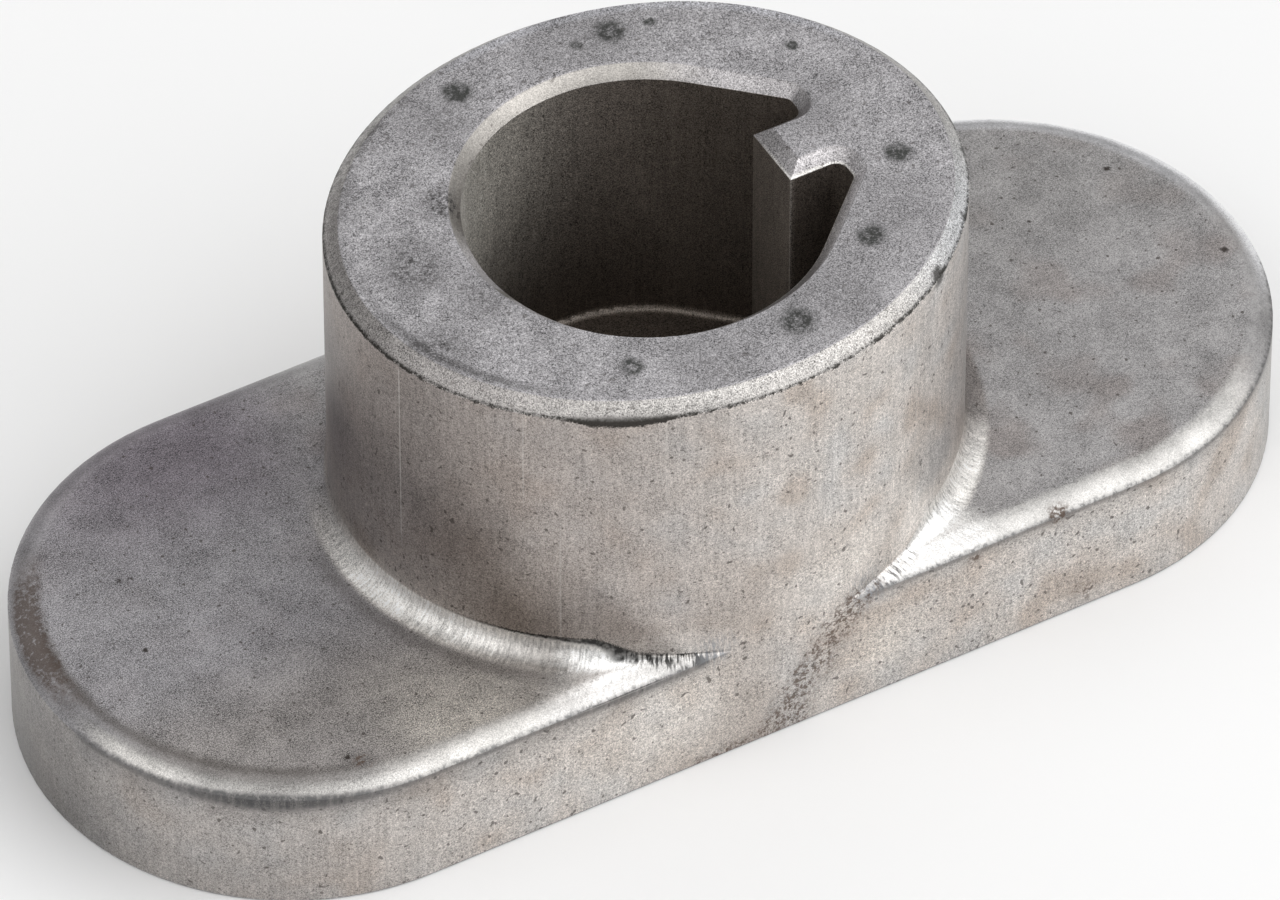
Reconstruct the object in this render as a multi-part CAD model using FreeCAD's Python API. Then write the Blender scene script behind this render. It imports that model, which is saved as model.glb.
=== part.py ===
import FreeCAD, Part
import math
import os
from FreeCAD import Vector

# Mower blade adapter: one sintered steel piece, millimetres, +Z up.
# The origin is the centre of the flat underside. X runs along the flange and the key is on the +X side.

# Flange: a bar with half-round ends that lies flat on the blade
flange_length = 83.6
flange_width = 34.4
flange_thickness = 9.3

# Pressed edge of the flange top: an arc that meets the side wall in a crisp line
edge_radius = 2.4
edge_slope = 45.0

# Oval boss that takes the engine shaft
boss_length = 40.0
total_height = 30.2
rim_chamfer = 0.95

# The boss is flush with the flange sides at the bottom and leans out past them up to this height
boss_overhang = 0.3
flush_top = 26.0

# Fillet where the boss rises from the flange, fading out towards the flange sides
root_radius = 1.5
root_tip_radius = 0.15
root_fade = 3.4

# Keyed bore for the shaft, closed at the bottom by a floor
shaft_diameter = 22.2
shaft_clearance = 0.1
bore_floor = 9.9
bore_chamfer = 0.8
floor_radius = 0.4

# Integral key along the flange, with a relief on each side of it
key_width = 4.5
key_tip = 8.7
key_tip_chamfer = 1.0
key_root_radius = 0.8
relief_angle = 47.0
relief_reach = 12.2
relief_corner = 0.6

# Hole in the floor for the blade bolt
bolt_diameter = 9.5
bolt_clearance = 0.5

bore_radius = (shaft_diameter + shaft_clearance) / 2
bolt_radius = (bolt_diameter + bolt_clearance) / 2
half_width = flange_width / 2
boss_width = flange_width + 2 * boss_overhang
end_centre = flange_length / 2 - half_width
slope = math.radians(edge_slope)
edge_run = edge_radius * math.sin(slope)
edge_drop = edge_radius * (1 - math.cos(slope))
wall_height = flange_thickness - edge_drop


def line(a, b):
    return Part.makeLine(a, b)


def edge_arc(side):
    """Arc of the pressed edge on one side of the flange section, from the wall up to the flat top."""
    wall = Vector(0, side * half_width, wall_height)
    flat = Vector(0, side * (half_width - edge_run), flange_thickness)
    reach = half_width - edge_run + edge_radius * math.sin(slope / 2)
    drop = edge_radius * (1 - math.cos(slope / 2))
    middle = Vector(0, side * reach, flange_thickness - drop)
    return wall, middle, flat


def flange():
    wall, middle, flat = edge_arc(1)
    far_wall, far_middle, far_flat = edge_arc(-1)
    foot = Vector(0, half_width, 0)
    far_foot = Vector(0, -half_width, 0)
    centre = Vector(0, 0, 0)
    crown = Vector(0, 0, flange_thickness)
    near_arc = Part.Arc(wall, middle, flat).toShape()
    far_arc = Part.Arc(far_flat, far_middle, far_wall).toShape()
    section = [line(far_foot, foot), line(foot, wall), near_arc, line(flat, far_flat), far_arc]
    section.append(line(far_wall, far_foot))
    bar = Part.Face(Part.Wire(section)).extrude(Vector(2 * end_centre, 0, 0))
    bar.translate(Vector(-end_centre, 0, 0))
    half_section = [line(centre, foot), line(foot, wall), near_arc, line(flat, crown), line(crown, centre)]
    disc = Part.Face(Part.Wire(half_section)).revolve(centre, Vector(0, 0, 1), 360)
    left_end = disc.translated(Vector(-end_centre, 0, 0))
    right_end = disc.translated(Vector(end_centre, 0, 0))
    return bar.fuse([left_end, right_end]).removeSplitter()


def boss():
    oval = Part.Ellipse(Vector(0, 0, 0), boss_length / 2, boss_width / 2)
    full = math.asin((half_width - root_fade) / (boss_width / 2))
    stops = [-full, full, math.pi - full, math.pi + full, 2 * math.pi - full]
    arcs = [Part.ArcOfEllipse(oval, a, b).toShape() for a, b in zip(stops, stops[1:])]
    column = Part.Face(Part.Wire(arcs)).extrude(Vector(0, 0, total_height))
    rim = [e for e in column.Edges if e.BoundBox.ZMin > total_height - 0.01]
    return column.makeChamfer(rim_chamfer, rim).common(flush_trim())


def flush_trim():
    """Block that trims the boss flush with the flange sides and leans out to its full width."""
    lean = (boss_width / 2 - half_width) / (flush_top - wall_height)
    top_width = half_width + lean * (total_height - wall_height)
    x = -boss_length / 2
    right = [Vector(x, half_width, 0), Vector(x, half_width, wall_height), Vector(x, top_width, total_height)]
    left = [mirrored(v) for v in reversed(right)]
    outline = Part.makePolygon(right + left + right[:1])
    return Part.Face(outline).extrude(Vector(boss_length, 0, 0))


def on_boss(point):
    x = point.x / (boss_length / 2)
    y = point.y / (boss_width / 2)
    return abs(x * x + y * y - 1) < 0.002


def root_size(point):
    """Radius of the root fillet at a point, by its distance from the flange side."""
    share = min(1.0, (half_width - abs(point.y)) / root_fade)
    return root_tip_radius + (root_radius - root_tip_radius) * share * share


def with_root_fillet(body):
    rows = []
    for number, edge in enumerate(body.Edges, 1):
        low = edge.BoundBox.ZMin > wall_height - 0.1 and edge.BoundBox.ZMax < flange_thickness + 0.1
        if low and all(on_boss(p) for p in edge.discretize(9)):
            start = edge.valueAt(edge.FirstParameter)
            end = edge.valueAt(edge.LastParameter)
            rows.append((number, root_size(start), root_size(end)))
    document = FreeCAD.newDocument("adapter")
    base = document.addObject("Part::Feature", "base")
    base.Shape = body
    root = document.addObject("Part::Fillet", "root")
    root.Base = base
    root.Edges = rows
    document.recompute()
    return root.Shape


def mirrored(point):
    return Vector(point.x, -point.y, point.z)


def rounded(before, corner, after, radius):
    """Start, middle and end of the arc that rounds one corner of the bore outline."""
    a = (before - corner).normalize()
    b = (after - corner).normalize()
    half = a.getAngle(b) / 2
    start = corner + a * (radius / math.tan(half))
    end = corner + b * (radius / math.tan(half))
    middle = corner + (a + b).normalize() * (radius / math.sin(half) - radius)
    return start, middle, end


def keyed_outline(z, grow, tip_grow):
    """Bore outline at height z, set outward by grow and at the tip of the key by tip_grow."""
    radius = bore_radius + grow
    reach = relief_reach + grow
    side = key_width / 2 - grow
    turn = math.radians(relief_angle)
    tangent = Vector(radius * math.cos(turn), radius * math.sin(turn), z)
    corner = Vector(reach, (radius - reach * math.cos(turn)) / math.sin(turn), z)
    root = Vector(reach, side, z)
    nose = Vector(key_tip + tip_grow, side, z)
    a = rounded(tangent, corner, root, relief_corner + grow)
    b = rounded(corner, root, nose, key_root_radius + grow)
    path = [tangent, a[0], a[1], a[2], b[0], b[1], b[2], nose]
    edges = []
    for p in (path, [mirrored(v) for v in path]):
        edges += [line(p[0], p[1]), Part.Arc(p[1], p[2], p[3]).toShape(), line(p[3], p[4])]
        edges += [Part.Arc(p[4], p[5], p[6]).toShape(), line(p[6], p[7])]
    edges.append(line(nose, mirrored(nose)))
    edges.append(Part.Arc(mirrored(tangent), Vector(-radius, 0, z), tangent).toShape())
    return Part.Wire(Part.sortEdges(edges)[0])


def keyed_bore():
    hollow = Part.Face(keyed_outline(bore_floor, 0, 0)).extrude(Vector(0, 0, total_height - bore_floor))
    floor_edges = [e for e in hollow.Edges if e.BoundBox.ZMax < bore_floor + 0.01]
    round_wall = [e for e in floor_edges if e.Length > bore_radius * math.pi]
    return hollow.makeFillet(floor_radius, round_wall)


def bore_lead():
    bottom = keyed_outline(total_height - bore_chamfer, 0, 0)
    top = keyed_outline(total_height, bore_chamfer, key_tip_chamfer)
    return Part.makeLoft([bottom, top], True, True)


body = with_root_fillet(flange().fuse(boss()))
body = body.cut(keyed_bore())
body = body.cut(bore_lead())
body = body.cut(Part.makeCylinder(bolt_radius, bore_floor))
adapter_body = body.removeSplitter().Solids[0]

os.makedirs("parts", exist_ok=True)
adapter_body.exportStep("parts/adapter_body.step")
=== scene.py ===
import functools
import math

import bmesh
import bpy
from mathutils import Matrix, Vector


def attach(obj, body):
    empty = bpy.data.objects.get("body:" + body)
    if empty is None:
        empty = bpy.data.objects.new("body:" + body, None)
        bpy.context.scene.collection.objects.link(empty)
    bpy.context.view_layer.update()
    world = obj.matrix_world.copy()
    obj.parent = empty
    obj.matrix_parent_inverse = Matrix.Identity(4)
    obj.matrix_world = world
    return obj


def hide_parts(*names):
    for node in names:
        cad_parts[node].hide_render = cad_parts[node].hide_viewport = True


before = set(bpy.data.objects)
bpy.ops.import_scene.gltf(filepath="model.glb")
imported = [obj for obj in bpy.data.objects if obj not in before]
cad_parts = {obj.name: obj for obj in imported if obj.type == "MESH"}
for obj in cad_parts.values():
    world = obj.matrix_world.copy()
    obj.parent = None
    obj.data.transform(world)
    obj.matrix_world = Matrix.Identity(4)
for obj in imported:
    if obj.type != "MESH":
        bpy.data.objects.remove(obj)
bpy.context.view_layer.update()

MM = 0.001

# Sizes of the solid that the finish is laid by, in millimetres
BOSS_HALF_LENGTH = 20.0
BOSS_HALF_WIDTH = 17.5
BOSS_TOP = 30.2
FLANGE_HALF_WIDTH = 17.2
FLANGE_END_CENTRE = 24.6
FLANGE_TOP = 9.3
SIDE_TOP = 8.6
NEAR_SIDE = -FLANGE_HALF_WIDTH
KEY_TIP = 8.7
KEY_HALF_WIDTH = 2.25
# Mean reach of the boss's wall from its axis, for distances measured round it
BOSS_ARC = 18.7

# How the skin's edges are broken
WELD_GAP = 0.001 * MM
EDGE_BREAK = 0.07 * MM
FLAT_ANGLE = math.radians(0.3)
CRISP_ANGLE = math.radians(32)
SMOOTH_ANGLE = math.radians(40)


def edge_broken_body(cad_node):
    """The adapter's skin: the solid's own surface with its pressed edges broken by a fine bevel."""
    mesh = cad_node.data.copy()
    mesh.name = "adapter_skin"
    shape = bmesh.new()
    shape.from_mesh(mesh)
    bmesh.ops.remove_doubles(shape, verts=shape.verts, dist=WELD_GAP)
    bmesh.ops.dissolve_limit(
        shape, angle_limit=FLAT_ANGLE, use_dissolve_boundaries=False,
        verts=shape.verts, edges=shape.edges)
    crisp = [edge for edge in shape.edges
             if len(edge.link_faces) == 2 and edge.calc_face_angle(0) > CRISP_ANGLE]
    bmesh.ops.bevel(
        shape, geom=crisp, offset=EDGE_BREAK, offset_type="OFFSET", affect="EDGES", segments=2,
        profile=0.5, clamp_overlap=True, material=-1)
    bmesh.ops.triangulate(shape, faces=shape.faces)
    for face in shape.faces:
        face.smooth = True
    shape.to_mesh(mesh)
    shape.free()
    mesh.set_sharp_from_angle(angle=SMOOTH_ANGLE)
    skin = bpy.data.objects.new("adapter_skin", mesh)
    bpy.context.scene.collection.objects.link(skin)
    return skin


def srgb(r, g, b):
    """A colour given as it looks on screen, 0 to 255, in linear light."""
    parts = (r / 255, g / 255, b / 255)
    return tuple(((part + 0.055) / 1.055) ** 2.4 for part in parts) + (1.0,)


class Amount:
    """A number that varies over the surface, worked out by few nodes of one finish."""

    def __init__(self, tree, socket):
        self.tree = tree
        self.socket = socket
        self.product = None  # of a product: its two factors
        self.step = None  # of a soft step: source, low, high, and the values below and above

    def math(self, operation, *others):
        node = self.tree.nodes.new("ShaderNodeMath")
        node.operation = operation
        for slot, value in zip(node.inputs, (self,) + others):
            if isinstance(value, Amount):
                self.tree.links.new(value.socket, slot)
            else:
                slot.default_value = value
        return Amount(self.tree, node.outputs[0])

    def __add__(self, other):
        if self.step and not isinstance(other, Amount):
            source, low, high, below, above = self.step
            return source.rise(low, high, below + other, above + other)
        for one, two in ((self, other), (other, self)):
            if isinstance(one, Amount) and one.product:
                first, second = one.product
                return first.math("MULTIPLY_ADD", second, two)
        return self.math("ADD", other)

    def __sub__(self, other):
        if not isinstance(other, Amount):
            return self + -other
        if other.product and not isinstance(other.product[1], Amount):
            return other.product[0] * -other.product[1] + self
        return self.math("SUBTRACT", other)

    def __rsub__(self, other):
        return self * -1.0 + other

    def __mul__(self, other):
        if not isinstance(other, Amount):
            if self.step:
                source, low, high, below, above = self.step
                return source.rise(low, high, below * other, above * other)
            if self.product:
                first, second = self.product
                if not isinstance(second, Amount) or second.step:
                    return first * (second * other)
                if first.step:
                    return second * (first * other)
        made = self.math("MULTIPLY", other)
        made.product = (self, other)
        return made

    def __truediv__(self, other):
        if not isinstance(other, Amount):
            return self * (1.0 / other)
        return self.math("DIVIDE", other)

    def __abs__(self):
        return self.math("ABSOLUTE")

    __radd__ = __add__
    __rmul__ = __mul__

    def most(self, other):
        return self.math("MAXIMUM", other)

    def least(self, other):
        return self.math("MINIMUM", other)

    def rise(self, low, high, below=0.0, above=1.0):
        """One value below low, another above high, with a soft step between them."""
        node = self.tree.nodes.new("ShaderNodeMapRange")
        node.interpolation_type = "SMOOTHSTEP"
        self.tree.links.new(self.socket, node.inputs["Value"])
        node.inputs["From Min"].default_value = low
        node.inputs["From Max"].default_value = high
        node.inputs["To Min"].default_value = below
        node.inputs["To Max"].default_value = above
        made = Amount(self.tree, node.outputs["Result"])
        made.step = (self, low, high, below, above)
        return made

    def fall(self, low, high):
        """1 below low, 0 above high, with a soft step between them."""
        return self.rise(high, low)

    def flip(self):
        """1 where this is 0, and 0 where it is 1."""
        return 1.0 - self

    def whole(self):
        """The same number, kept as one piece for use in many places."""
        return Amount(self.tree, self.socket)

    def held(self):
        """The same number, kept between 0 and 1."""
        node = self.tree.nodes.new("ShaderNodeClamp")
        self.tree.links.new(self.socket, node.inputs["Value"])
        return Amount(self.tree, node.outputs["Result"])


class Finish:
    """One procedural finish. Its places are in millimetres of the part's own frame."""

    def __init__(self, name):
        self.material = bpy.data.materials.new(name)
        self.material.use_nodes = True
        self.tree = self.material.node_tree
        self.shader = self.tree.nodes["Principled BSDF"]
        place = self.tree.nodes.new("ShaderNodeTexCoord").outputs["Object"]
        self.place = self.scaled(place, 1.0 / MM)
        self.x, self.y, self.z = self.parts(self.place)
        self.tint = None

    def scaled(self, vector, factor):
        node = self.tree.nodes.new("ShaderNodeVectorMath")
        node.operation = "SCALE"
        self.tree.links.new(vector, node.inputs[0])
        if isinstance(factor, Amount):
            self.tree.links.new(factor.socket, node.inputs["Scale"])
        else:
            node.inputs["Scale"].default_value = factor
        return node.outputs[0]

    def parts(self, vector):
        node = self.tree.nodes.new("ShaderNodeSeparateXYZ")
        self.tree.links.new(vector, node.inputs[0])
        return [Amount(self.tree, out) for out in node.outputs]

    def joined(self, x, y, z):
        node = self.tree.nodes.new("ShaderNodeCombineXYZ")
        for slot, value in zip(node.inputs, (x, y, z)):
            if isinstance(value, Amount):
                self.tree.links.new(value.socket, slot)
            else:
                slot.default_value = value
        return node.outputs[0]

    def noise(self, per_mm, detail=2.0, rough=0.5, at=None):
        """Cloudy noise between 0 and 1, mostly near 0.5."""
        node = self.tree.nodes.new("ShaderNodeTexNoise")
        self.tree.links.new(at or self.place, node.inputs["Vector"])
        node.inputs["Scale"].default_value = per_mm
        node.inputs["Detail"].default_value = detail
        node.inputs["Roughness"].default_value = rough
        return Amount(self.tree, node.outputs[0])

    def coat(self, colour, cover):
        """Lays a colour over the finish, as thick as cover says."""
        node = self.tree.nodes.new("ShaderNodeMix")
        node.data_type = "RGBA"
        self.tree.links.new(cover.socket, node.inputs[0])
        if isinstance(self.tint, tuple):
            node.inputs[6].default_value = self.tint
        else:
            self.tree.links.new(self.tint, node.inputs[6])
        node.inputs[7].default_value = colour
        self.tint = node.outputs[2]

    def shade(self, factor):
        """Makes the finish lighter or darker by a factor."""
        self.tint = self.scaled(self.tint, factor)

    def away(self, x, y, z):
        """Distance from a place on the part."""
        node = self.tree.nodes.new("ShaderNodeVectorMath")
        node.operation = "DISTANCE"
        self.tree.links.new(self.place, node.inputs[0])
        node.inputs[1].default_value = (x, y, z)
        return Amount(self.tree, node.outputs["Value"])

    def near(self, x, y, z, reach):
        """1 at a place on the part, falling to 0 at reach millimetres from it."""
        return self.away(x, y, z).fall(0.0, reach)

    def reach(self, x, y):
        """Length of a flat run with these two sides."""
        node = self.tree.nodes.new("ShaderNodeVectorMath")
        node.operation = "LENGTH"
        self.tree.links.new(self.joined(x, y, 0.0), node.inputs[0])
        return Amount(self.tree, node.outputs["Value"])


def strongest(amounts):
    """The greatest of several amounts at each place."""
    return functools.reduce(Amount.most, amounts)


# Dark round stains on the boss's top face: x, y, radius, and how pale the middle is
TOP_STAINS = (
    (5.3, 13.7, 1.0, 0.4), (-5.4, 13.6, 1.0, 0.0), (15.1, -4.1, 0.9, 0.0),
    (10.1, -9.5, 0.95, 0.0), (2.6, -13.6, 1.2, 0.45), (-7.9, -12.1, 0.75, 0.8),
    (7.8, 13.2, 0.4, 0.3), (14.2, 7.2, 0.45, 0.3), (2.9, 13.6, 0.4, 0.3),
)
# Soft dark smudges on the top face: x, y, reach and strength
TOP_SMUDGES = (
    (-10.9, 5.6, 2.2, 1.1), (-15.0, 1.6, 3.4, 0.9), (-12.6, -2.2, 3.2, 0.6),
    (-7.5, 11.6, 4.0, 0.55), (12.0, 2.0, 5.0, 0.3), (5.5, -13.0, 6.5, 0.42),
    (12.5, -8.5, 5.5, 0.3), (-3.5, -14.6, 4.5, 0.45), (3.0, 13.6, 6.0, 0.45),
    (-17.0, -5.0, 3.0, 0.7),
)
SMUDGE_HEIGHT = 30.1
# Upright die lines on the boss: place round the wall in degrees, heights where the line is
# faint and clear, and strength
DIE_LINES = (
    (-165.8, 13.5, 15.5, 0.9), (-138.7, 21.0, 23.0, 0.45), (-131.9, 21.0, 19.0, 0.4),
    (-113.0, 15.0, 17.0, 0.4), (-96.0, 15.0, 17.0, 0.5), (-60.0, 13.0, 15.0, 0.6),
)
DIE_LINE_HALF = 0.055
# Dark nicks under the rim on the right: x, y and size
RIM_NICKS = ((12.3, -13.6, 0.9), (16.3, -10.2, 0.5), (19.2, -5.2, 0.6))
NICK_HEIGHT = 29.3
# Height of the dark line under the rim
RIM_LINE = 29.36
# Single dark pits on the flange's top: x, y and radius
FLANGE_PITS = (
    (36.84, 6.85, 0.22), (39.46, -2.94, 0.24), (30.27, 5.16, 0.14), (-34.83, -0.26, 0.19),
    (-33.4, 5.7, 0.17), (-32.7, 5.5, 0.15), (-28.6, -14.1, 0.18),
)
# Relief of the fine grain
GRAIN_RELIEF = 0.02 * MM
GRAIN_STRENGTH = 0.6


class SinteredSkin(Finish):
    """As-pressed steel. Heights, reaches and places in its methods are in millimetres."""

    def __init__(self):
        super().__init__("sintered_steel_skin")
        self.find_places()
        self.make_textures()
        self.find_regions()

    def find_places(self):
        """Round the boss, out from its wall, and in from the flange's side."""
        x, y = self.x, self.y
        self.oval = self.reach(x / BOSS_HALF_LENGTH, y / BOSS_HALF_WIDTH)
        steep = self.reach(x / BOSS_HALF_LENGTH ** 2, y / BOSS_HALF_WIDTH ** 2)
        self.off_boss = (self.oval - 1.0) * self.oval / steep.most(0.001)
        end_run = (abs(x) - FLANGE_END_CENTRE).most(0.0)
        self.from_side = FLANGE_HALF_WIDTH - self.reach(end_run, y)
        angle = (y / BOSS_HALF_WIDTH).math("ARCTAN2", x / BOSS_HALF_LENGTH)
        self.round_boss = angle * BOSS_ARC

    def make_textures(self):
        """Grain, cloudiness and tool marks swing a little about 0; pores go from 0 to 1."""
        x, y, z = self.x, self.y, self.z
        along_wall = self.joined(x * 3.6, y * 3.6, z * 0.3)
        across_root = self.joined(self.round_boss * 6.5, self.off_boss, z)
        self.fine = self.noise(13.0, 1.0) - 0.5
        self.grain = self.noise(6.0, 2.0, 0.6) - 0.5
        self.fleck = self.noise(2.2, 1.0, 0.6) - 0.5
        self.cloud = self.noise(0.4, 2.0, 0.55) - 0.5
        self.warmth = self.noise(0.24, 1.0, 0.5, self.joined(x + 31.0, y, z)) - 0.5
        self.wobble = self.noise(1.6, 2.0, 0.6) - 0.5
        self.upright = self.noise(1.0, 2.0, 0.6, along_wall) - 0.5
        self.comb = self.noise(1.0, 2.0, 0.6, across_root) - 0.5
        self.pores = (self.noise(3.0, 0.0) + self.grain * 0.15).rise(0.74, 0.82).whole()

    def find_regions(self):
        """Each region is 1 on its own surface and 0 elsewhere."""
        x, y, z, off_boss, from_side = self.x, self.y, self.z, self.off_boss, self.from_side
        self.left = x.fall(-24.0, -14.0).whole()
        self.right = x.rise(-6.0, 6.0)
        self.inside = self.oval.fall(0.84, 0.86)
        self.outside = self.inside.flip()

        self.top = z.rise(30.08, 30.16).whole()
        below_top = z.fall(30.1, 30.17)
        self.rim_chamfer = (z.rise(29.24, 29.32) * below_top * self.outside).whole()
        self.bore_chamfer = (z.rise(29.36, 29.44) * below_top * self.inside).whole()
        self.bore = (self.inside * z.fall(29.34, 29.42)).whole()

        out_on_flange = off_boss.rise(0.05, 0.3)
        self.flange_top = (out_on_flange * z.rise(8.52, 8.64)).whole()
        self.band = (out_on_flange * z.rise(8.56, 8.64) * from_side.fall(1.25, 1.85)).whole()
        self.underside = z.fall(0.02, 0.08)

        self.root_size = from_side.rise(1.25, 3.15) * 1.42 + 0.1
        self.root_foot = FLANGE_TOP - (1.4 - from_side).most(0.0) * 0.45
        up_root = (z - self.root_foot) / self.root_size
        self.root = ((off_boss / self.root_size).fall(0.75, 1.15) * up_root.fall(0.85, 1.02)
                     * z.rise(8.5, 8.8) * self.outside * from_side.rise(0.08, 0.4)).whole()
        # The front of the root: burnished, and painted as a highlight in lay_edges.
        pressed = y.fall(-4.5, 7.5) * (1.0 - self.right) + y.fall(-12.5, -6.5) * self.right
        self.pressed_lit_root = (self.root * pressed).whole()
        into_corner = from_side / 3.4 + off_boss / 5.0 + self.wobble * 0.4
        self.run_out = (self.flange_top * into_corner.fall(0.8, 1.35) * y.fall(0.0, 4.0)).whole()

        self.wall = (self.flange_top + self.top + self.rim_chamfer + self.bore_chamfer
                     + self.bore + self.underside).least(1.0).flip()
        self.burnished = self.band.most(self.pressed_lit_root).most(self.run_out)

    def lay_boss_wall(self):
        """Warm wall, with painted shade on the left and at the back left, a painted reflection of
        the flange low in it, and a painted highlight at the near front.
        """
        x, y, z = self.x, self.y, self.z
        above_root = z.rise(9.0, 12.0)
        self.tint = srgb(205, 199, 194)
        self.coat(srgb(184, 171, 160), self.warmth.rise(0.0, 0.2) * 0.6)
        self.coat(srgb(196, 196, 196), self.warmth.fall(-0.2, 0.0) * 0.5)
        # Painted shade: the wall darker towards the left, above the root.
        self.coat(srgb(152, 143, 138), x.fall(-16.0, 4.0) * above_root * 0.7)
        # Painted reflection: the dark flange mirrored low in the wall on the left.
        mirror_edge = (x + z * 0.7 + self.wobble).fall(-1.5, 0.4)
        mirrored = mirror_edge * z.fall(11.0, 19.0) * z.rise(9.0, 9.6)
        self.coat(srgb(112, 102, 95), mirrored * x.rise(-18.6, -15.4) * 0.6)
        # Painted shade: darker high on the left.
        self.coat(srgb(118, 111, 107), x.fall(-20.0, -14.0) * z.rise(13.0, 20.0) * 0.45)
        self.coat(srgb(190, 182, 176), self.near(-18.6, -6.4, 12.2, 6.0) * 0.55)
        # Painted shade: darker to the left of a soft upright edge on the left of the wall.
        left_of_line = x.fall(-15.7, -14.7) * self.near(-17.4, -8.6, 16.8, 6.5)
        self.coat(srgb(120, 110, 104), left_of_line * 0.45)
        # Painted shade at the back left of the wall, away from the lamps.
        behind = x.fall(-18.0, -12.0) * y.rise(-1.0, 4.0) * z.fall(22.0, 29.0)
        self.coat(srgb(80, 76, 76), behind * z.rise(12.0, 19.0) * 0.5)
        self.coat(srgb(174, 171, 169), x.rise(12.0, 18.0) * above_root * 0.6)
        self.coat(srgb(174, 163, 154), abs(x + 3.2).fall(0.5, 4.2) * z.fall(13.0, 17.0) * 0.5)
        # Painted highlight where the wall faces the light, at the near front.
        self.coat(srgb(228, 221, 214), self.near(4.2, NEAR_SIDE, 11.5, 6.0) * 0.6)

    def lay_flange_side(self):
        """Light in the middle of the near side, greyer towards the right end, and with painted
        shade towards the left end and on the left end wall.
        """
        x, side = self.x, self.z.fall(8.7, 9.2)
        self.coat(srgb(152, 151, 149), x.rise(33.5, 40.5) * side * 0.85)
        self.coat(srgb(226, 219, 211), self.near(6.8, NEAR_SIDE, 4.0, 3.8) * 0.5)
        self.coat(srgb(224, 219, 214), self.near(-9.0, NEAR_SIDE, 4.0, 9.0) * 0.6)
        # Painted shade towards the left end, darker still on the back of the left end wall.
        self.coat(srgb(148, 144, 142), x.fall(-38.0, -16.0) * side * 0.6)
        left_end = x.fall(-41.6, -37.0) * side
        self.coat(srgb(120, 118, 117), left_end * self.y.rise(-10.0, -2.0) * 0.6)

    def lay_flange_top(self):
        """Cool matte grey, with a painted reflection of the dark boss over the left part, darkest
        near the boss at the back, and pale before the left root, where it is burnished and painted
        as a highlight.
        """
        x, y, flange_top = self.x, self.y, self.flange_top
        self.coat(srgb(169, 167, 167), flange_top.most(self.underside))
        self.coat(srgb(150, 141, 137), flange_top * self.warmth.rise(0.0, 0.18) * 0.5)
        on_left = flange_top * self.left
        # Painted reflection of the dark boss: the left flange top darker, most near the boss at the
        # back.
        self.coat(srgb(159, 157, 160), on_left * 0.8)
        self.coat(srgb(158, 153, 149), on_left * y.fall(-10.0, -2.0) * 0.7)
        self.coat(srgb(128, 121, 128), on_left * y.rise(3.0, 13.0) * x.rise(-41.0, -27.0) * 0.8)
        far_right = flange_top * x.rise(14.0, 20.0) * y.rise(-4.0, 8.0)
        self.coat(srgb(158, 156, 155), far_right * 0.6)
        # Burnished, and a painted highlight where the flange top before the left root tilts towards
        # the light.
        before_root = flange_top * x.fall(-20.0, -10.0) * x.rise(-28.5, -21.5)
        self.coat(srgb(206, 201, 194), before_root * y.fall(-15.0, -6.0) * 0.85)

    def lay_boss_top(self):
        """Grey top face, and a rim with a painted highlight at the near right and painted shade
        behind and on the left.
        """
        x, y, rim = self.x, self.y, self.rim_chamfer
        self.coat(srgb(175, 173, 175), self.top)
        self.coat(srgb(176, 173, 170), rim)
        # Painted highlight on the rim where it faces the key light.
        self.coat(srgb(226, 227, 230), rim * self.near(16.0, -10.0, 29.6, 10.0) * 0.75)
        # Painted shade on the rim behind and on the left, where it faces away from the light.
        self.coat(srgb(140, 137, 135), rim * x.rise(-14.0, -4.0) * y.rise(0.0, 8.0) * 0.7)
        self.coat(srgb(148, 143, 142), rim * x.fall(-18.0, -9.0) * 0.5)
        far_ring = self.off_boss.rise(-1.75, -1.35) * y.rise(3.0, 9.0) * x.rise(-8.0, -2.0)
        self.coat(srgb(194, 194, 199), far_ring * self.top * 0.55)

    def lay_bore(self):
        """Chamfer, with painted highlights on the far arc and the key's near flank; bore, with
        painted light on its left, painted shade lower down, a painted glint on its near edge and a
        painted highlight where the wall meets the floor.
        """
        x, y, z, bore, chamfer = self.x, self.y, self.z, self.bore, self.bore_chamfer
        self.coat(srgb(172, 169, 170), chamfer)
        # Painted highlights on the chamfer's far arc and on the key's near flank, where they face
        # the camera and the light.
        far_arc = y.rise(1.0, 4.5) * (x + self.wobble * 1.5).fall(4.5, 9.5)
        key_flank = abs(y + 2.65).fall(0.45, 0.6) * (x + self.grain).fall(10.4, 11.0)
        self.bright_chamfer = chamfer * far_arc.most(key_flank)
        self.coat(srgb(176, 172, 167), self.bright_chamfer)
        # Painted highlights brighter on the key's near flank and its near chamfer.
        self.coat(srgb(206, 204, 201), chamfer * key_flank)
        self.coat(srgb(214, 211, 213), chamfer * x.rise(5.0, 9.0) * y.fall(-4.0, -2.9))

        self.coat(srgb(142, 134, 127), bore)
        # Painted light on the left of the bore, where the key light falls in.
        self.coat(srgb(226, 223, 216), bore * x.fall(-9.0, 4.0) * 0.9)
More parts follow.
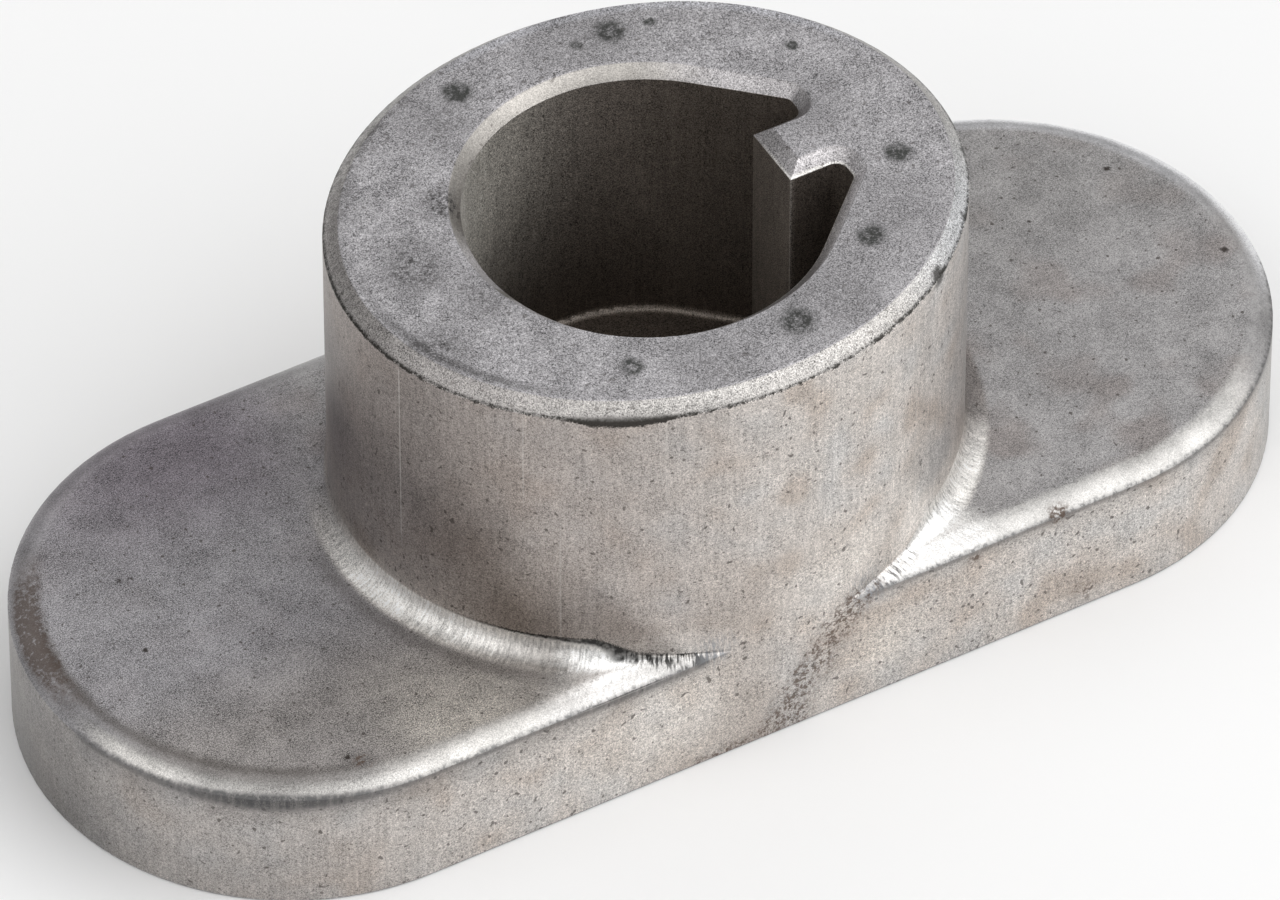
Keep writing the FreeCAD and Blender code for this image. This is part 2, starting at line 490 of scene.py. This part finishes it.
        # Painted shade deep in the bore and on its right.
        deep_shade = (z.fall(10.0, 25.0) * x.rise(-11.0, -5.0)).most(x.rise(2.0, 9.0) * 0.8)
        self.coat(srgb(102, 94, 87), bore * deep_shade)
        key_tip = abs(y).fall(KEY_HALF_WIDTH, 2.4) * x.rise(8.2, 8.5) * x.fall(8.9, 9.1)
        self.coat(srgb(150, 143, 137), bore * key_tip * 0.4)
        from_corner = self.reach(x - KEY_TIP, y + KEY_HALF_WIDTH)
        key_corner = from_corner.fall(0.03, 0.16) * z.rise(13.0, 17.0)
        self.coat(srgb(196, 191, 186), bore * key_corner * 0.45)
        # Painted glint along the bore's near edge.
        bore_edge_glint = abs(z - 29.42).fall(0.03, 0.11) * self.inside
        bore_edge_glint = bore_edge_glint * x.rise(1.0, 5.0) * y.fall(-1.0, 2.0)
        self.coat(srgb(232, 229, 225), bore_edge_glint * 0.8)
        # Painted highlight on the arc where the bore's wall meets its floor.
        floor_corner_highlight = self.inside * z.rise(9.92, 10.05) * z.fall(10.2, 10.55)
        self.coat(srgb(160, 152, 145), floor_corner_highlight * 0.9)

    def lay_edges(self):
        """Band along the flange's edge, with painted highlights on its near side, and the burnished
        root that runs out into it, painted as a highlight in front and with painted shade at the
        sides.
        """
        x, y, z, band, from_side = self.x, self.y, self.z, self.band, self.from_side
        strip = from_side.rise(0.0, 0.3) * (from_side + self.wobble * 0.4).fall(0.6, 1.15)
        off_left_end = x.fall(-33.0, -22.0).flip()
        bright_band = strip.most(off_left_end) * y.fall(-6.0, -2.5)
        bright_band = bright_band * x.rise(-42.0, -40.0) * x.fall(32.0, 37.0)
        right_band = band * x.rise(22.0, 30.0)
        self.coat(srgb(196, 196, 199), right_band * y.rise(-2.0, 6.0) * 0.7)
        # Painted highlight on the band at the near right.
        self.coat(srgb(250, 250, 252),
                  right_band * y.rise(-9.0, -3.0) * from_side.fall(0.3, 1.1) * 0.9)
        # Painted highlight along the band's near side, a brighter painted streak on the left, and
        # painted shade where it dulls at the front left.
        self.coat(srgb(202, 200, 197), band * (bright_band * 0.83 + 0.05))
        self.coat(srgb(236, 232, 227), band * strip * self.near(-39.6, -7.6, 8.9, 6.0) * 0.38)
        self.coat(srgb(140, 137, 134), band * self.near(-33.4, -14.0, 9.0, 8.0) * 0.42)

        pressed = self.pressed_lit_root
        # Painted shade on the root at the sides, where it faces away from the light.
        self.coat(srgb(126, 119, 115), self.root * (1.0 - pressed) * y.fall(2.0, 8.0) * 0.75)
        # The front root burnished and painted as a highlight, the painted highlight dimmer at the
        # left front and at the right tip.
        self.coat(srgb(240, 237, 233), pressed)
        self.coat(srgb(182, 178, 174), pressed * self.near(-13.9, -12.9, 9.6, 6.5))
        self.coat(srgb(206, 203, 200), pressed * self.right * y.fall(-15.0, -13.0) * 0.8)
        ramp_end = y.fall(-9.0, -4.0) * x.fall(13.0, 16.0)
        # The run-out burnished and painted as a highlight, brightest along its top.
        self.coat(srgb(212, 210, 208), self.run_out * ramp_end)
        self.coat(srgb(250, 249, 247), self.run_out * z.rise(9.1, 9.28) * ramp_end)
        right_tip = self.near(5.2, NEAR_SIDE, 9.1, 2.6)
        left_tip = self.near(-4.6, NEAR_SIDE, 9.2, 1.8)
        tip_ends = right_tip.most(left_tip).rise(0.0, 0.5)
        # The painted highlight greyer at the root's two tips.
        self.coat(srgb(180, 177, 175), tip_ends * self.run_out.most(self.root) * 0.8)

    def lay_grain(self):
        """Fine grain everywhere, upright marks on the walls, comb marks across the root."""
        top = self.top.most(self.rim_chamfer).most(self.bore_chamfer)
        flange_top, bore, wall, pressed = self.flange_top, self.bore, self.wall, self.pressed_lit_root
        coarse = self.grain * (top * 0.3 + flange_top * 0.4 + wall * 0.25 + 0.9)
        sand = self.fine * (top * 1.5 + flange_top * (self.left * 1.1 + 0.6)
                            + bore * 1.6 + wall * 0.5 + 1.4)
        flecks = self.fleck * (top * 0.2 + 0.35)
        combed = self.comb * (pressed * (2.4 - pressed) + self.run_out * 0.7)
        smoothed = 1.0 - self.burnished.most(self.bright_chamfer) * 0.5
        self.shade(
            (coarse + sand + flecks) * smoothed
            + self.cloud * (flange_top * 0.4 + self.top * 0.3 + 0.4)
            + self.upright * (wall * 0.5 + bore * 0.5) + combed + 1.0)
        open_pores = self.pores * (1.0 - self.burnished * 0.7)
        self.coat(srgb(84, 78, 74), open_pores * (top * -0.3 - bore * 0.5 + 0.75))

    def lay_die_lines(self):
        """Fine upright lines that the die left on the boss."""
        lines = strongest(
            self.round_boss.math("COMPARE", math.radians(angle) * BOSS_ARC, DIE_LINE_HALF)
            * self.z.rise(faint, clear) * strength
            for angle, faint, clear, strength in DIE_LINES)
        worn = (self.wobble * 1.5 + 0.55) * self.z.fall(28.7, 29.2)
        self.coat(srgb(215, 210, 205), lines * worn * self.wall)

    def lay_rim_marks(self):
        """Dark ragged line under the rim, a dark crescent in front, nicks, and a dark far rim."""
        crescent = self.near(-10.3, -15.1, 29.2, 4.6)
        on_left = self.near(-18.6, 1.0, 29.3, 10.0)
        line_size = crescent * 0.5 + 0.12 + (self.wobble * 0.9).most(0.0) + on_left * 0.08
        line_height = self.near(17.5, 6.0, 29.3, 9.0) * 0.12 + RIM_LINE
        under_rim = (line_height - self.z + self.grain * 0.3 + self.fine * 0.25) / line_size
        rim_line = under_rim.rise(-0.4, 0.2) * under_rim.fall(0.7, 1.1) * self.outside
        patchy = self.wobble * 3.0 + self.grain * 3.0
        broken = (patchy + 0.75 + on_left * 0.3).most(crescent.rise(0.0, 0.25))
        self.coat(srgb(50, 48, 45), rim_line * broken.held() * 0.95)
        ragged = self.wobble * 0.9 + self.grain * 0.6
        nicks = strongest(
            (self.away(x, y, NICK_HEIGHT) + ragged).fall(size * 0.3, size)
            for x, y, size in RIM_NICKS)
        self.coat(srgb(62, 60, 57), nicks * 0.85)
        far_rim = self.off_boss.rise(-1.9, -0.8) * self.near(-12.0, 12.0, 30.0, 15.0)
        far_rim = far_rim * self.z.rise(29.0, 29.3)
        self.coat(srgb(82, 79, 77), far_rim * (patchy + 0.4).held() * 0.8)

    def stain(self, ragged, x, y, size, pale_middle):
        """A round stain on the top face, with a ragged edge."""
        away = self.away(x, y, BOSS_TOP) + ragged
        mark = away.fall(size * 0.4, size * 1.35)
        if pale_middle:
            mark = mark - away.fall(size * 0.1, size * 0.6) * pale_middle
        return mark

    def lay_top_stains(self):
        """Round stains, soft smudges, and a ring of painted shade inside the rim on the left."""
        mottle = self.fleck * 2.0 + self.grain * 2.5
        ragged = self.wobble * 0.45 + self.grain * 0.5
        stains = strongest(self.stain(ragged, *place) for place in TOP_STAINS)
        self.stains = (stains * (mottle + 0.9)).held() * self.top
        self.coat(srgb(72, 74, 71), self.stains * 0.92)
        smudges = strongest(
            self.near(x, y, SMUDGE_HEIGHT, reach) * strength
            for x, y, reach, strength in TOP_SMUDGES)
        smudges = (smudges * (mottle * 1.4 + 0.5)).held()
        self.coat(srgb(86, 84, 84), smudges * self.top.most(self.bore_chamfer))
        # Painted shade of a slight dip: a soft dark ring inside the rim on the left.
        ring = abs(self.off_boss + 1.4 + self.wobble * 0.5).fall(0.0, 0.55)
        ring = ring * self.near(-17.0, -6.0, BOSS_TOP, 11.0)
        self.coat(srgb(82, 80, 80), ring * self.top * (mottle + 0.8).held() * 0.8)

    def lay_side_line(self):
        """The flange's crisp side line: teeth above it, painted grey shade below that spreads wider
        and darker at the left, and painted shade along a groove on the left flange top.
        """
        x, y = self.x, self.y
        below = SIDE_TOP - self.z
        shade_spread = self.near(-34.1, -14.3, 8.3, 9.5)
        by_tip = self.near(-9.5, NEAR_SIDE, 8.6, 9.0)
        ragged = self.upright * 2.0 + self.fine * 2.0 + 0.85
        beside = self.off_boss.rise(0.1, 0.6) * y.fall(-5.0, -2.5)
        on_left = x.fall(-14.0, -6.0)
        # Painted shade: a broad soft grey below the side line.
        soft = below.rise(-0.1, 0.1) * (below / (on_left * 0.9 + 1.7)).fall(0.0, 1.0) * beside
        self.coat(srgb(104, 102, 101), soft * (on_left * 0.12 + 0.34))
        # Painted shade: a thin darker band just below the side line, wider and darker at the left.
        shade = (below + shade_spread * 0.14).rise(-0.22, 0.0) * beside
        shade = shade * (below / (shade_spread * 0.75 + by_tip * 0.35 + 0.5)).fall(0.3, 1.0)
        self.coat(srgb(78, 78, 79), shade * ragged.held() * (shade_spread * 0.45 + by_tip * 0.2 + 0.5))
        teeth = below.rise(-0.3, -0.05) * below.fall(-0.02, 0.02)
        teeth = teeth * (self.upright + self.fine * 0.5).rise(-0.02, 0.14)
        self.coat(srgb(104, 104, 104), teeth * beside * 0.7)
        # Painted shade along a groove inside the band at the left.
        groove_shade = abs(self.from_side - 1.75 + self.wobble * 0.5).fall(0.0, 0.75) * self.flange_top
        self.coat(srgb(100, 95, 91), groove_shade * x.fall(-33.0, -25.0) * y.fall(2.0, 6.0) * 0.6)

    def lay_root_marks(self):
        """Dark ragged line along the root's top, painted shade beside it, torn metal at its two
        ends, and painted grey shade by the tips.
        """
        x, y, off_boss = self.x, self.y, self.off_boss
        thick = self.near(-8.8, -15.8, 9.7, 8.0) * 0.32 + 0.1
        above_root = self.z - self.root_foot - self.root_size
        above_root = (above_root + self.comb * 0.3 + self.fine * 0.2) / thick
        torn = (self.wobble * 1.6 + 0.95
                + (self.comb * 5.0 - 0.35) * self.from_side.fall(1.2, 2.3))
        line = above_root.rise(-1.8, -0.8) * above_root.fall(0.1, 0.6)
        line = line * y.fall(-12.0, -6.0) * x.fall(-6.0, -3.0)
        self.coat(srgb(58, 57, 56), line * off_boss.fall(0.3, 0.7) * torn.held())
        # Painted shade on the flange beside the root at the left.
        beside = abs(off_boss - 2.0).fall(0.0, 1.0) * self.flange_top
        beside = beside * x.fall(-17.0, -12.0) * y.fall(-1.0, 4.0)
        self.coat(srgb(100, 95, 93), beside * 0.42)
        tips = self.near(-7.4, -16.6, 9.3, 3.4).most(self.near(7.8, -16.4, 9.2, 2.8))
        strokes = tips.rise(0.0, 0.5) * self.comb.rise(0.0, 0.1) * off_boss.fall(0.5, 1.3)
        self.coat(srgb(66, 65, 64), strokes * self.flange_top.most(self.root) * 0.85)
        # Painted grey shade beside the root's two tips.
        feather = self.near(-4.9, NEAR_SIDE, 9.2, 2.0).most(self.near(5.6, NEAR_SIDE, 9.1, 2.4))
        self.coat(srgb(150, 152, 156), feather * (self.comb * 5.0 + 0.4).held() * 0.8)

    def lay_rust(self):
        """Rust on the left end, brown stains on the near side, and single pits."""
        x, y, z = self.x, self.y, self.z
        speckle = self.fleck * 2.5 + self.grain * 3.0
        edge_strip = self.from_side.rise(0.05, 0.6)
        edge_strip = edge_strip * (self.from_side + self.wobble * 0.8).fall(1.5, 2.3)
        left_patch = edge_strip * self.near(-39.9, 4.2, 9.0, 8.5)
        self.coat(srgb(82, 68, 59), (left_patch * 1.3 * (speckle + 1.05)).held() * 0.8)
        spots = strongest((
            self.near(19.1, NEAR_SIDE, 8.7, 1.2), self.near(13.1, NEAR_SIDE, 7.9, 0.7),
            self.near(21.0, NEAR_SIDE, 1.3, 1.6) * 0.6, self.near(-27.9, -14.8, 9.2, 1.0)))
        # A slanting run down the near side, from the right end of the root
        down_run = abs((x - 4.6) * 0.819 - (z - 8.3) * 0.575 + self.wobble * 2.0).fall(0.0, 2.2)
        down_run = down_run * z.fall(8.4, 10.5) * y.fall(-17.1, -16.0)
        foot = z.fall(0.2, 1.0) * self.near(-3.5, NEAR_SIDE, 0.0, 6.0) * 0.8
        foot = self.near(0.4, NEAR_SIDE, 1.0, 2.4).most(foot)
        brown = spots.most(down_run * 0.9).most(foot)
        stains = (brown * (speckle * 2.0 + 0.45)).held()
        self.coat(srgb(92, 74, 62), stains * 0.85)
        ragged = self.wobble * 0.3 + self.grain * 0.4
        pits = strongest(
            (self.away(pit_x, pit_y, FLANGE_TOP) + ragged).fall(size * 0.3, size * 1.5)
            for pit_x, pit_y, size in FLANGE_PITS)
        self.coat(srgb(58, 51, 47), pits * 0.9)
        self.rust = stains.most(left_patch)

    def join_shader(self):
        """Colour, metal, roughness and relief, joined to the shader."""
        links = self.tree.links
        links.new(self.tint, self.shader.inputs["Base Color"])
        dull = self.bore_chamfer * (1.0 - self.bright_chamfer) * self.x.fall(-6.0, 2.0)
        metal = 1.0 - self.rust * 0.5 - dull * 0.7
        links.new(metal.socket, self.shader.inputs["Metallic"])
        matte = self.flange_top.most(self.top).most(self.bore) * (1.0 - self.burnished)
        rough = (self.grain * 0.25 + 0.41 + matte * 0.22 + self.root * 0.04 + self.band * 0.05
                 + self.stains * 0.1 + self.rust * 0.25)
        links.new(rough.socket, self.shader.inputs["Roughness"])
        bump = self.tree.nodes.new("ShaderNodeBump")
        bump.inputs["Strength"].default_value = GRAIN_STRENGTH
        bump.inputs["Distance"].default_value = GRAIN_RELIEF
        ramp = (2.9 - self.from_side).most(0.0) * self.near(-11.2, -15.8, 9.3, 5.0)
        ramp = ramp * self.flange_top
        combed = self.off_boss.fall(0.9, 1.6) * self.z.fall(10.5, 11.1) * self.z.rise(8.6, 9.0)
        combed = self.comb * combed * self.from_side.rise(0.3, 1.0) * 1.5
        height = self.grain + self.fine * 0.5 + combed - ramp * 15.0
        links.new(height.socket, bump.inputs["Height"])
        links.new(bump.outputs[0], self.shader.inputs["Normal"])


def sintered_steel():
    """The adapter's one material, laid from the broad tones to the single marks."""
    skin = SinteredSkin()
    skin.lay_boss_wall()
    skin.lay_flange_side()
    skin.lay_flange_top()
    skin.lay_boss_top()
    skin.lay_bore()
    skin.lay_edges()
    skin.lay_grain()
    skin.lay_die_lines()
    skin.lay_rim_marks()
    skin.lay_top_stains()
    skin.lay_side_line()
    skin.lay_root_marks()
    skin.lay_rust()
    skin.join_shader()
    return skin.material


skin = edge_broken_body(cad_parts["adapter_body"])
skin.data.materials.clear()
skin.data.materials.append(sintered_steel())
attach(skin, "root")
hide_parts("adapter_body")


FLOOR_HALF = 3.0
FLOOR_GAP = 0.1 * MM
PAPER_WHITE = 0.9
WORLD_LIGHT = 0.37
LAMP_DISTANCE = 1.6
# Softboxes: name, azimuth, elevation, size in metres and power in watts
SOFTBOXES = (
    ("key_softbox", 48, 46, 1.9, 19.5),
    ("front_softbox", -30, 45, 1.2, 4.2),
    ("left_softbox", -85, 42, 1.4, 5.0),
    ("back_softbox", 150, 50, 1.8, 5.5),
)
# Camera as fitted to the photo, with lengths in units of that fit
FIT_UNIT = 11.95 * MM
CAMERA_AZIMUTH, CAMERA_ELEVATION = -29.73, 44.99
CAMERA_BACK = 75.36
AIM_LEFT, AIM_DOWN = 0.0321, 0.1849
SENSOR_WIDTH, LENS = 36.0, 416.6


def studio_floor():
    """A plain pale floor just under the part."""
    shape = bmesh.new()
    bmesh.ops.create_grid(shape, x_segments=1, y_segments=1, size=FLOOR_HALF)
    bmesh.ops.translate(shape, verts=shape.verts, vec=(0, 0, -FLOOR_GAP))
    mesh = bpy.data.meshes.new("studio_floor")
    shape.to_mesh(mesh)
    shape.free()
    floor = bpy.data.objects.new("studio_floor", mesh)
    bpy.context.scene.collection.objects.link(floor)
    paper = bpy.data.materials.new("white_paper")
    paper.use_nodes = True
    tree = paper.node_tree
    out = tree.nodes["Material Output"]
    tree.nodes.remove(tree.nodes["Principled BSDF"])
    plain = tree.nodes.new("ShaderNodeBsdfDiffuse")
    plain.inputs["Color"].default_value = (PAPER_WHITE, PAPER_WHITE, PAPER_WHITE, 1)
    tree.links.new(plain.outputs[0], out.inputs["Surface"])
    mesh.materials.append(paper)


def studio_world():
    """Even grey light from all round."""
    world = bpy.data.worlds.new("studio_world")
    bpy.context.scene.world = world
    world.use_nodes = True
    background = world.node_tree.nodes["Background"]
    background.inputs["Color"].default_value = (1, 1, 1, 1)
    background.inputs["Strength"].default_value = WORLD_LIGHT


def direction(azimuth, elevation):
    """Unit vector from the part towards a place in the studio, in the views' own angles."""
    a = math.radians(azimuth)
    e = math.radians(elevation)
    return Vector((math.sin(a) * math.cos(e), -math.cos(a) * math.cos(e), math.sin(e)))


def softbox(name, azimuth, elevation, size, power):
    """A square lamp that faces the part."""
    lamp = bpy.data.lights.new(name, "AREA")
    lamp.shape = "SQUARE"
    lamp.size = size
    lamp.energy = power
    holder = bpy.data.objects.new(name, lamp)
    way = direction(azimuth, elevation)
    holder.location = way * LAMP_DISTANCE
    holder.rotation_mode = "QUATERNION"
    holder.rotation_quaternion = (-way).to_track_quat("-Z", "Y")
    bpy.context.scene.collection.objects.link(holder)


def photo_camera():
    """A long lens at the photo's own angle."""
    back = direction(CAMERA_AZIMUTH, CAMERA_ELEVATION)
    turn = math.radians(CAMERA_AZIMUTH)
    right = Vector((math.cos(turn), math.sin(turn), 0))
    up = back.cross(right)
    target = Vector((0, 0, FIT_UNIT)) - right * AIM_LEFT * FIT_UNIT - up * AIM_DOWN * FIT_UNIT
    data = bpy.data.cameras.new("photo_camera")
    data.sensor_fit = "HORIZONTAL"
    data.sensor_width = SENSOR_WIDTH
    data.lens = LENS
    data.clip_start = 0.05
    data.clip_end = 20.0
    holder = bpy.data.objects.new("photo_camera", data)
    holder.location = target + back * CAMERA_BACK * FIT_UNIT
    holder.rotation_mode = "QUATERNION"
    holder.rotation_quaternion = (-back).to_track_quat("-Z", "Y")
    bpy.context.scene.collection.objects.link(holder)
    bpy.context.scene.camera = holder


studio_floor()
studio_world()
for box in SOFTBOXES:
    softbox(*box)
photo_camera()
bpy.context.scene.view_settings.view_transform = "Standard"
